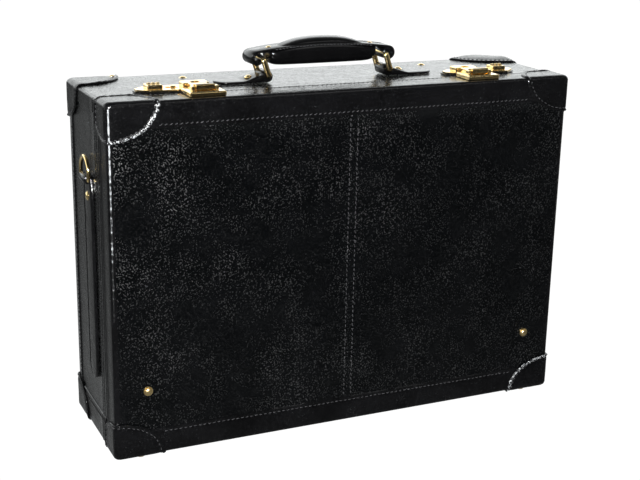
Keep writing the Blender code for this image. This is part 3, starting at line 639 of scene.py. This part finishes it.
def shell_stitches():
    """The thread rows in the bindings and the centre seam."""
    front, back, up = (0, -1, 0), (0, 1, 0), (0, 0, 1)
    reach = HALF_W - CAP_WIDE + 2.0

    def across(y, z, out, slant=0.0):
        return stitch_row([(-reach, y, z), (reach, y, z)], [out, out], slant=slant)

    level = FRONT - BAND_PROUD + 0.25
    rows = across(level, UPPER_ROW, front, 0.42) + across(level, LOWER_ROW, front, 0.10)
    level = FRONT + PANEL_SUNK + 0.25
    for x in (-SEAM_ROWS, SEAM_ROWS):
        ends = [(x, level, LOW_EDGE + 1.5), (x, level, TOP_EDGE - 1.5)]
        rows += stitch_row(ends, [front, front], slant=0.15)
    rows += across(LID_BACK - STITCH_IN, TOP + BAND_PROUD - 0.2, up)
    piece("lid_stitches", *gather(rows), THREAD, "lid", "trim_leather")
    level = BACK + BAND_PROUD - 0.25
    rows = across(level, UPPER_ROW, back) + across(level, LOWER_ROW, back)
    for _, side in SIDES:
        x, y, out = side * (HALF_W + BAND_PROUD - 0.2), REAR_EDGE + STITCH_IN, (side, 0, 0)
        rows += stitch_row([(x, y, BOTTOM + CAP_TALL), (x, y, TOP - CAP_TALL)], [out, out])
    piece("base_stitches", *gather(rows), THREAD, "base", "trim_leather")


def edge_piping():
    """A thin, lumpy ridge along the front's upright edges, with a painted highlight. It sinks in at the lower
    half.
    """
    parts = []
    low, high, steps = BOTTOM + 7.0, TOP - 4.0, 210
    for _, side in SIDES:
        points, sizes = [], []
        for i in range(steps + 1):
            z = low + (high - low) * i / steps
            on_cap = smooth_step(CAP_TALL + 1.0, CAP_TALL - 1.0, min(z - BOTTOM, TOP - z))
            level = FRONT + 0.75 - 1.55 * on_cap + 0.15 * ripple((z, 0, side), 3.0, 4.0)
            level += 1.2 * smooth_step(CENTRE.z + 30, CENTRE.z - 60, z) + 0.35 * (side + 1)
            points.append((side * (HALF_W - 2.4 + 0.5 * on_cap), level, z))
            sizes.append(0.75 + 0.35 * ripple((z, 5, side), 3.2, 9.0))
        parts.append(swept(points, lambda i, sizes=sizes: circle(sizes[i], 10), False, (0, 1, 0)))
    piece("lid_edge_piping", *gather(parts), HIGHLIGHT_EDGE_LEATHER, "lid", "trim_leather", sharp=80)


# ---- corner caps

def cap_point(corner, face, a, b, lift):
    """A point lifted off the case's surface near a corner, and its normal. a and b go inwards on the face."""
    signs = Vector(1 if c > 0 else -1 for c in (corner[0], corner[1] - CENTRE.y, corner[2] - CENTRE.z))
    depths = [0.0, 0.0, 0.0]
    u, v = [i for i in range(3) if i != face]
    depths[u], depths[v] = a, b
    core = Vector(max(depths[i], EDGE[i]) for i in range(3))
    place, out = rounded(Vector(depths) - core, EDGE)
    place += core + out * lift
    point = Vector(corner[i] - signs[i] * place[i] for i in range(3))
    return point, Vector(-signs[i] * out[i] for i in range(3))


def cap(name, half, level, side):
    """A leather cap: a puckered three-faced patch with a rolled edge. Returns its stitches."""
    corner = Vector((HALF_W * side, FRONT if half == "lid" else BACK, TOP if level == "top" else BOTTOM))
    limit = (1e3, abs((LID_BACK if half == "lid" else SEAM) - corner.y) - 0.4, 1e3)
    seed = 3.0 * side + (7.0 if half == "lid" else 11.0) + (13.0 if level == "top" else 17.0)
    loosened = (half, level, side) == ("base", "top", 1)  # this cap is puffed up and reaches further
    flare = 2.2 if loosened else 0.0
    reach = (CAP_WIDE * (1.2 if loosened else 1.0), CAP_DEEP, CAP_TALL)
    turns = ((0, 1, 2), (1, 2, 0), (2, 0, 1))  # of each face: its axis, the axes at 0 and at 90 degrees
    steps = 32
    threaded, under = 0.905, "under"  # the loop that the stitches follow, and the one tucked in
    levels = [0.05, 0.10, 0.14, 0.18, 0.22, 0.28, 0.36, 0.46, 0.56, 0.66, 0.75, 0.82, 0.87, threaded, 0.935,
              0.96, 0.98, 1.0]
    spokes = [(face, first, second, 90.0 * k / steps) for face, first, second in turns for k in range(steps)]
    loops, thread_points, thread_outs = [], [], []
    for r in levels + [under]:
        loop = []
        share = 1.0 if r == under else r
        for face, first, second, degrees in spokes:
            t = math.radians(degrees)
            a, b = math.cos(t), math.sin(t)
            far = 1.0 / math.hypot(a / reach[first], b / reach[second])
            for axis, part in ((first, a), (second, b)):
                if part > 1e-6:
                    far = min(far, limit[axis] / part)
            far *= 1 + 0.018 * ripple((far * a, far * b, face * 50.0), 9.0, seed)
            if first > second:
                a, b = b, a
            place = (a * far * share, b * far * share, face * 40.0)
            crinkle = 1 + 0.9 * ripple(place, 3.2, seed)
            roll = 0.65 * crinkle * bump(share, 0.965, 0.045) - 0.35 * bump(share, 0.90, 0.045)
            loose = 0.0
            if loosened and face == 2:
                roll *= 0.2
                loose = flare * bump(share, 0.55, 0.5)
            lift = 1.5 + roll + 0.25 * share * ripple(place, 11.0, seed) + loose
            if share == 1.0:
                lift = 1.15
            inwards = share
            if r == under:
                inwards, lift = 0.985, 0.15
            point, out = cap_point(corner, face, a * far * inwards, b * far * inwards, lift)
            loop.append(point)
            if r == threaded:
                thread_points.append(point)
                thread_outs.append(out)
        loops.append(loop)
    verts, faces = loft(loops, closed_ends=False)
    verts.append(cap_point(corner, 0, 0.0, 0.0, 1.6)[0])
    count = len(spokes)
    faces += [(k, (k + 1) % count, len(verts) - 1) for k in range(count)]
    rim = [i for i, r in enumerate(levels) if 0.93 < r < 0.99]
    painted_glints = half == "lid" and (level == "top") != (side > 0)  # the two front corners whose rims carry painted glints
    kinds = [1 if painted_glints and i // count in rim and i % count // steps == 1 else 0 for i in range(len(faces))]
    piece(name + "_leather", verts, faces, [TRIM_LEATHER, GLINT_PAINTED_LEATHER], half, "trim_leather", (name,),
          kinds, 70)
    rows = []
    for start in range(0, count, steps):
        rows += stitch_row(thread_points[start:start + steps], thread_outs[start:start + steps], length=2.6)
    return rows


def corner_caps():
    for half in ("lid", "base"):
        rows = []
        for level in ("bottom", "top"):
            for side_name, side in SIDES:
                rows += cap(f"cap_{half}_{level}_{side_name}", half, level, side)
        piece(f"cap_stitches_{half}", *gather(rows), THREAD, half, "trim_leather")


# ---- studs, feet and rivets

def studs():
    """Domed studs and turned feet. Each stud starts a little inside the case."""
    sunk, sides = 0.6, 28
    for side_name, _ in SIDES:
        for place, out, body in (("front", -1, "lid"), ("back_bottom", 1, "base"), ("back_top", 1, "base")):
            node = f"stud_{place}_{side_name}"
            low, high = node_box(node)
            foot = (low + high) / 2
            foot.y = (high.y if out < 0 else low.y) - out * sunk
            profile = dome_profile((high.x - low.x) / 2, high.y - low.y + sunk, 0.7)
            made = turned(foot, (0, out, 0), profile, sides)
            piece(node + "_domed", *made, SATIN_BRASS, body, "brass", (node,))
        for half in ("lid", "base"):
            node = f"foot_{half}_{side_name}"
            low, high = node_box(node)
            radius = (high.x - low.x) / 2
            profile = [(radius, -sunk), (radius, high.z - 1.0), (radius - 0.35, high.z - 0.3),
                       (radius - 1.0, high.z), (0.02, high.z)]
            made = turned(((low.x + high.x) / 2, (low.y + high.y) / 2, high.z), (0, 0, -1), profile, sides)
            piece(node + "_turned", *made, SATIN_BRASS, half, "brass", (node,))


def small_rivets():
    """Rivets that hold the leather: behind the locks, on the rear caps, and on and beside the side straps."""
    parts = []
    for _, side in SIDES:
        up, out = (0, 0, 1), (side, 0, 0)
        strap_x = side * (HALF_W + STRAP_THICK)
        cap_x = side * (HALF_W - CAP_WIDE + 6.0)
        for place, axis, sizes in (
                ((side * 126.0, BACK - 24.0, TOP - 0.6), up, (3.8, 1.8, 0.8)),
                ((strap_x, STRAP_Y, STRAP_HIGH.z - 20.0), out, (4.2, 2.2, 0.7)),
                ((side * HALF_W, STRAP_Y - 20.0, STRAP_HIGH.z - 2.0), out, (1.2, 1.0)),
                ((cap_x, BACK - 5.0, TOP + 1.2), up, (1.9, 1.2))):
            parts.append(turned(place, axis, dome_profile(*sizes)))
    piece("base_rivets", *gather(parts), BRASS, "base", "brass")


# ---- handle

def ring_loop(half, corner, rise):
    """A rectangle with round corners, from its foot up."""
    right, left, upper = half - corner, -half + corner, rise - corner
    return (arc(right, corner, corner, -90, 0, 6) + arc(right, upper, corner, 0, 90, 6)
            + arc(left, upper, corner, 90, 180, 6) + arc(left, corner, corner, 180, 270, 6))


def handle_rings():
    """Rectangular rings of wire, whose legs are flattened and wider than their ends."""
    lean, wire, corner = RING_LEAN, RING_WIRE, 2.4
    across = Vector((math.cos(lean), 0, math.sin(lean)))
    for side_name, side in SIDES:
        node = f"handle_ring_{side_name}"
        low, high = node_box(node)
        foot = Vector((side * RING_X, 0, RING_FOOT.z))
        half = (high.y - low.y) / 2 - wire
        points, wide = [], []
        for a, b in ring_loop(half, corner, (RING_TOP - RING_FOOT).length):
            points.append(foot + Vector((-math.sin(lean) * b, a, math.cos(lean) * b)))
            wide.append(1.0 + 0.75 * smooth_step(half - corner, half, abs(a)))

        def section(i, wide=wide):
            grow = wide[i]
            turns = [2 * math.pi * k / 16 for k in range(16)]
            flat = [1 - 0.10 * math.cos(2 * t) * (grow - 1) for t in turns]
            return [(wire * math.sin(t), wire * grow * math.cos(t) * less) for t, less in zip(turns, flat)]

        piece(node + "_wire", *swept(points, section, True, across), BRASS, node, "brass", (node,), sharp=60)


def loop_tube(centre, radius, bore, mouth, bevel, steps):
    """The leather loop round a ring: a tube along Y, with rims that are bevelled from mouth to its ends."""
    rim, hole = circle(radius, steps), circle(bore, steps)
    small = [(a * bevel, b * bevel) for a, b in rim]
    end = LOOP_HALF
    return loft([[centre + Vector((a, y, b)) for a, b in outline] for y, outline in (
        (-mouth, rim), (-end, small), (-end, hole), (end, hole), (end, small), (mouth, rim))], cyclic=True)


def round_end(half, past):
    """Half width of a strap with a round end, past the place where the end begins to narrow."""
    return math.sqrt(max(half**2 - past**2, 0.04))


def handle_tabs():
    """Leather tabs that run under the ring and end in a rounded tongue, with a rivet near the ring."""
    thin, loop_rise, steps, sides = 2.4, 5.0, 26, 20
    rivets = []
    for side_name, side in SIDES:
        node = f"handle_tab_{side_name}"
        low, high = node_box(node)
        end = max(abs(low.x), abs(high.x))
        half = (high.y - low.y) / 2
        tip = end - half
        loops = []
        for i in range(steps + 1):
            x = RING_X + (end - RING_X) * i / steps
            wide = half - 2.5 * (1 - smooth_step(RING_X, RING_X + 9, x))
            if x > tip:
                wide = round_end(half, x - tip)
            rise = (thin + loop_rise * (1 - smooth_step(RING_X + 2, RING_X + 24, x))) / 2
            loops.append([Vector((side * x, wide * blunt(c, 0.35), TAB_FLOOR + rise + rise * blunt(s, 0.5)))
                          for c, s in circle(1.0, sides)])
        loop_radius = (high.z - TAB_FLOOR) / 2
        centre = Vector((side * RING_X, 0, TAB_FLOOR + loop_radius))
        parts = [loft(loops), loop_tube(centre, loop_radius, 2.15, 9.4, 0.93, 28)]
        piece(node + "_leather", *gather(parts), SMOOTH_LEATHER, "base", "trim_leather", (node,), sharp=55)
        rivets.append(turned((side * (RING_X + 15.0), 0, TOP + 4.0), (0, 0, 1), dome_profile(4.0, 2.6, 0.8)))
    piece("tab_rivets", *gather(rivets), BRASS, "base", "brass")


def grip_arch(x):
    """Height of the strap's middle layer above the rolls' centres, at distance x from the grip's middle."""
    return 4.8 * (1 - min(abs(x) / ROLL_X, 1.0)**2)


def grip_pad():
    """The stuffed middle of the grip: it swells above and below the strap, and is blunt at its ends."""
    half_long, stations, sides = 54.0, 61, 44
    crown_rise, crown_share = 5.8, 0.80
    strap_level = ROLL_RADIUS - 1.2
    loops = []
    for i in range(stations):
        t = math.sin(math.pi / 2 * (-1 + 2 * i / (stations - 1)))
        x = half_long * t
        end = max(1 - abs(t) ** 14.0, 0.0) ** 0.5
        above = strap_level + 0.8 + crown_rise * max(1 - abs(t / crown_share) ** 2.8, 0.0)
        below = 9.0 + 3.4 * (1 - t * t)
        wide = 11.8 + 1.6 * (1 - t * t)
        centre = RING_TOP.z + grip_arch(x)
        loop = []
        for c, s in circle(1.0, sides):
            y = wide * blunt(c, 0.62) * (0.7 + 0.3 * end)
            z = (above if s > 0 else below) * blunt(s, 0.8)
            z = strap_level + (z - strap_level) * (0.6 + 0.4 * end)
            y -= math.copysign(1.3 * bump(z, strap_level, 2.2), c) * end
            loop.append(Vector((GRIP_MIDDLE + x, y, centre + z)))
        loops.append(loop)
    made = piece("grip_pad", *loft(loops), SMOOTH_LEATHER, "handle_grip", "trim_leather", ("handle_grip",),
                 sharp=80)


def strap_layer(points, half_wides, thick):
    """A flat strap across Y with softened edges. It follows points in the XZ plane, with a width at each."""
    edge = 0.5
    soft = 1 - edge / thick
    loops = []
    for i, ((x, z), half) in enumerate(zip(points, half_wides)):
        bx, bz = points[max(i - 1, 0)]
        ax, az = points[min(i + 1, len(points) - 1)]
        along = Vector((ax - bx, 0, az - bz)).normalized()
        out = Vector((-along.z, 0, along.x))
        inner = half - edge
        loops.append([Vector((x, y, z)) + out * (n * thick / 2) for y, n in (
            (-inner, 1), (-half, soft), (-half, -soft), (-inner, -1), (0, -1), (inner, -1), (half, -soft),
            (half, soft), (inner, 1), (0, 1))])
    return loft(loops)


def grip_spiral(side, radius):
    """The strap's end, rolled round the ring: outwards from the top of the roll, down, and in again."""
    steps, step_degrees, tightening = 40, 13.5, 2.4
    run = []
    for k in range(1, steps + 1):
        turn = math.radians(90 - k * step_degrees)
        reach = radius - tightening * k / steps
        run.append((side * (ROLL_X + reach * math.cos(turn)), reach * math.sin(turn)))
    return run


def grip_strap():
    """The strap that carries the grip: along its whole length, and rolled round both rings."""
    thick, half, half_rolled = 2.4, 12.4, 11.3  # the rolls turn between the ring's legs
    roll = ROLL_RADIUS - thick / 2
    steps = 40
    stations = [-ROLL_X + 2 * ROLL_X * i / steps for i in range(steps + 1)]
    path = grip_spiral(-1, roll)[::-1] + [(x, grip_arch(x) + roll) for x in stations] + grip_spiral(1, roll)
    wides = [half_rolled + (half - half_rolled) * smooth_step(ROLL_X - 2.0, ROLL_X - 14.0, abs(x))
             for x, _ in path]
    strap = strap_layer([(GRIP_MIDDLE + x, RING_TOP.z + z) for x, z in path], wides, thick)
    piece("grip_strap", *strap, SMOOTH_LEATHER, "handle_grip", "trim_leather", sharp=70)
    rows, rivets = [], []
    for side in (-1, 1):
        seam = [Vector((GRIP_MIDDLE + x, side * 12.5, RING_TOP.z + grip_arch(x) + roll))
                for x in range(-50, 51, 4)]
        rows += stitch_row(seam, [Vector((0, side, 0))] * len(seam), pitch=3.4, length=2.6)
        x = side * (ROLL_X - 15.0)
        place = (GRIP_MIDDLE + x, 0, RING_TOP.z + grip_arch(x) + ROLL_RADIUS - 0.5)
        rivets.append(turned(place, (0, 0, 1), dome_profile(2.8, 1.5, 0.6)))
    piece("grip_stitches", *gather(rows), THREAD, "handle_grip", "trim_leather")
    piece("grip_rivets", *gather(rivets), BRASS, "handle_grip", "brass")


# ---- side straps and D-rings

def side_straps():
    """Flat straps with a creased border and a round lower end, looped at the top round the D-ring."""
    loop_radius, neck_half, neck_long = 3.6, 10.0, 12
    end_steps, steps = 10, 30
    border = [(1.0, 0.0), (1.0, 0.55), (0.98, 0.90), (0.93, 1.0), (0.86, 0.30), (0.77, 0.92), (0.6, 1.0)]
    border += [(-a, b) for a, b in reversed(border)]
    for side_name, side in SIDES:
        node = f"side_strap_{side_name}"
        low, high = node_box(node)
        half = (high.y - low.y) / 2
        tip, axis_z = low.z + half, high.z - loop_radius
        inner = side * (HALF_W + 0.1)
        stations = [low.z + half * (1 - math.cos(math.pi / 2 * i / end_steps)) for i in range(end_steps)]
        stations += [tip + (axis_z - low.z - half) * i / steps for i in range(steps + 1)]
        loops = []
        for z in stations:
            wide = half
            if z < tip:
                wide = round_end(half, tip - z)
            if z > axis_z - neck_long:
                wide = half - (half - neck_half) * (z - axis_z + neck_long) / neck_long
            thick = STRAP_THICK + 0.25 * bump(z, axis_z - 20, 12)
            loops.append([Vector((inner + side * thick * b, STRAP_Y + wide * a, z)) for a, b in border])
        centre = Vector((side * (HALF_W + 0.3 + loop_radius), STRAP_Y, axis_z))
        parts = [loft(loops), loop_tube(centre, loop_radius, 1.75, 9.5, 0.9, 24)]
        piece(node + "_leather", *gather(parts), TRIM_LEATHER, "base", "trim_leather", (node,), sharp=55)


def d_rings():
    """Rings with a straight foot in the strap's loop, two short legs and a round bow."""
    leg, corner = 6.0, 2.6
    for side_name, _ in SIDES:
        node = f"side_dring_{side_name}"
        low, high = node_box(node)
        wire = (high.x - low.x) / 2
        half = (high.y - low.y) / 2 - wire
        axis = Vector(((low.x + high.x) / 2, STRAP_Y, low.z + wire))
        outline = (arc(-half + corner, corner, corner, 180, 270, 6)
                   + arc(half - corner, corner, corner, -90, 0, 6) + arc(0, leg, half, 0, 180, 28))
        made = swept([axis + Vector((0, a, b)) for a, b in outline], circle(wire * 1.1, 14), True, (1, 0, 0))
        piece(node + "_wire", *made, BRASS, node, "brass", (node,), sharp=70)


# ---- locks and other CAD nodes that stay

def refinish(node, finish, bevel=0.0, segments=2):
    """Gives a CAD node its material, and softens its edges where the real piece is rounded off."""
    obj = frame["nodes"][node]
    obj.data.materials.clear()
    obj.data.materials.append(finish)
    if bevel:
        weld = obj.modifiers.new("weld", "WELD")
        weld.merge_threshold = 0.00001
        step = obj.modifiers.new("bevel", "BEVEL")
        step.width = bevel * MM
        step.segments = segments
        step.limit_method = "ANGLE"
        step.angle_limit = math.radians(35)
        step.harden_normals = True


def carried_nodes():
    """The CAD nodes that are seen as they are: locks, dials, stays, hinge, rims, pocket and lining."""
    for side_name, _ in SIDES:
        for bevel, segments, nodes in ((0.6, 3, ("hasp_base", "hasp")), (0.5, 3, ("lock_plate",)),
                                       (0.2, 2, ("lock_button", "stay_arm")),
                                       (0.15, 2, ("stay_pin_lid", "stay_pin_base"))):
            for node in nodes:
                refinish(f"{node}_{side_name}", BRASS, bevel, segments)
        refinish(f"lock_backing_{side_name}", TRIM_LEATHER, 0.4)
        for k in (1, 2, 3):
            refinish(f"dial_{side_name}_{k}", DIAL_BRASS)
    for node in ("hinge_pin", "hinge_leaf_lid", "hinge_leaf_base"):
        refinish(node, STEEL)
    for node in ("base_rim", "lid_rim", "lid_pocket"):
        refinish(node, TRIM_LEATHER, 0.6)
    for node in ("base_lining", "lid_lining"):
        refinish(node, SUEDE)


# ---- floor, light and camera

def floor():
    mesh = bpy.data.meshes.new("floor")
    size = 4.0
    corners = [(a * size, b * size, 0) for a, b in ((-1, -1), (1, -1), (1, 1), (-1, 1))]
    mesh.from_pydata(corners, [], [(0, 1, 2, 3)])
    obj = new_object("floor", mesh)
    n = Nodes(bpy.data.materials.new("floor_paper"))
    n.shade(Base_Color=(0.92, 0.92, 0.92, 1.0), Roughness=0.8)
    n.shade(Emission_Color=(1, 1, 1, 1), Emission_Strength=0.55)
    mesh.materials.append(n.owner)
    obj.visible_glossy = False
    obj.visible_camera = False  # so that the lid is seen when it opens below the floor's level


def world():
    """White for the camera; for light and reflections, bright above and behind, dim below and in front."""
    made = bpy.data.worlds.new("studio")
    bpy.context.scene.world = made
    n = Nodes(made)
    n.tree.nodes.clear()
    direction = n.add("ShaderNodeTexCoord").outputs["Generated"]
    x, y, z = n.add("ShaderNodeSeparateXYZ", Vector=direction).outputs

    def eased(source, *limits):
        return n.span(source, *limits, kind="SMOOTHSTEP")

    def times(first, second):
        return n.math("MULTIPLY", first, second)

    above = times(eased(z, -0.02, 0.10, 0.0, 1.0), eased(z, 0.45, 0.75, 1.0, 0.06))
    sky = times(times(above, eased(y, -0.15, 0.35, 0.02, 1.0)), 1.9)
    ground = n.math("ADD", eased(y, -0.4, 0.7, 0.018, 0.16), eased(z, -0.50, -0.26, 0.14, 0.0))
    level = n.math("SUBTRACT", 1.0, eased(n.math("ABSOLUTE", z, 0.0), 0.10, 0.30, 0.0, 1.0))
    right = times(times(eased(x, 0.40, 0.65, 0.0, 1.0), level), eased(y, -0.1, 0.2, 0.10, 0.0))
    rear = times(eased(x, -0.22, 0.0, 0.0, 0.2), eased(y, 0.6, 0.85, 0.0, 1.0))
    rear = times(rear, eased(z, -0.15, -0.05, 1.0, 0.0))
    strength = n.math("ADD", n.math("ADD", sky, ground), n.math("ADD", right, rear))
    lighting = n.add("ShaderNodeBackground", Color=(0.97, 1.0, 1.0, 1), Strength=strength)
    seen = n.add("ShaderNodeBackground", Color=(1, 1, 1, 1), Strength=1.05)
    choose = n.add("ShaderNodeMixShader")
    by_camera = n.add("ShaderNodeLightPath").outputs["Is Camera Ray"]
    for socket, source in zip(choose.inputs, (by_camera, lighting.outputs[0], seen.outputs[0])):
        n.feed(socket, source)
    n.add("ShaderNodeOutputWorld", Surface=choose.outputs[0])


def lamp(name, place, aim, size, power):
    data = bpy.data.lights.new(name, "AREA")
    data.shape = "RECTANGLE"
    data.size, data.size_y = size
    data.energy = power
    obj = new_object(name, data)
    obj.location = place
    obj.rotation_mode = "QUATERNION"
    obj.rotation_quaternion = (Vector(place) - Vector(aim)).to_track_quat("Z", "Y")


CAMERA_AT = Vector((-0.490, -1.0583, 0.5213))
CAMERA_TURN, CAMERA_TILT, CAMERA_ROLL = -24.77, 16.92, 1.16  # degrees: to the right, down, anticlockwise
CAMERA_LENS = 70.24


def camera():
    data = bpy.data.cameras.new("camera")
    data.lens = CAMERA_LENS
    data.sensor_width = 36.0
    data.clip_start, data.clip_end = 0.05, 50.0
    obj = new_object("camera", data)
    obj.location = CAMERA_AT
    turn = Matrix.Rotation(math.radians(CAMERA_TURN), 4, "Z")
    turn = turn @ Matrix.Rotation(math.radians(90 - CAMERA_TILT), 4, "X")
    turn = turn @ Matrix.Rotation(math.radians(CAMERA_ROLL), 4, "Z")
    obj.rotation_euler = turn.to_euler()
    bpy.context.scene.camera = obj


def light():
    world()
    aim = (0, 0, 0.16)
    lamp("flash", CAMERA_AT + Vector((0.02, 0.0, 0.08)), aim, (0.06, 0.06), 38.0)
    lamp("left_soft", (-1.5, -0.35, 0.55), aim, (0.8, 0.9), 2.0)
    lamp("front_high", (0.9, -1.4, 1.9), aim, (1.0, 0.8), 5.0)
    bpy.context.scene.view_settings.view_transform = "Standard"


camera()
light()
floor()
leather_shells()
shell_stitches()
edge_piping()
corner_caps()
studs()
small_rivets()
handle_rings()
handle_tabs()
grip_pad()
grip_strap()
side_straps()
d_rings()
carried_nodes()
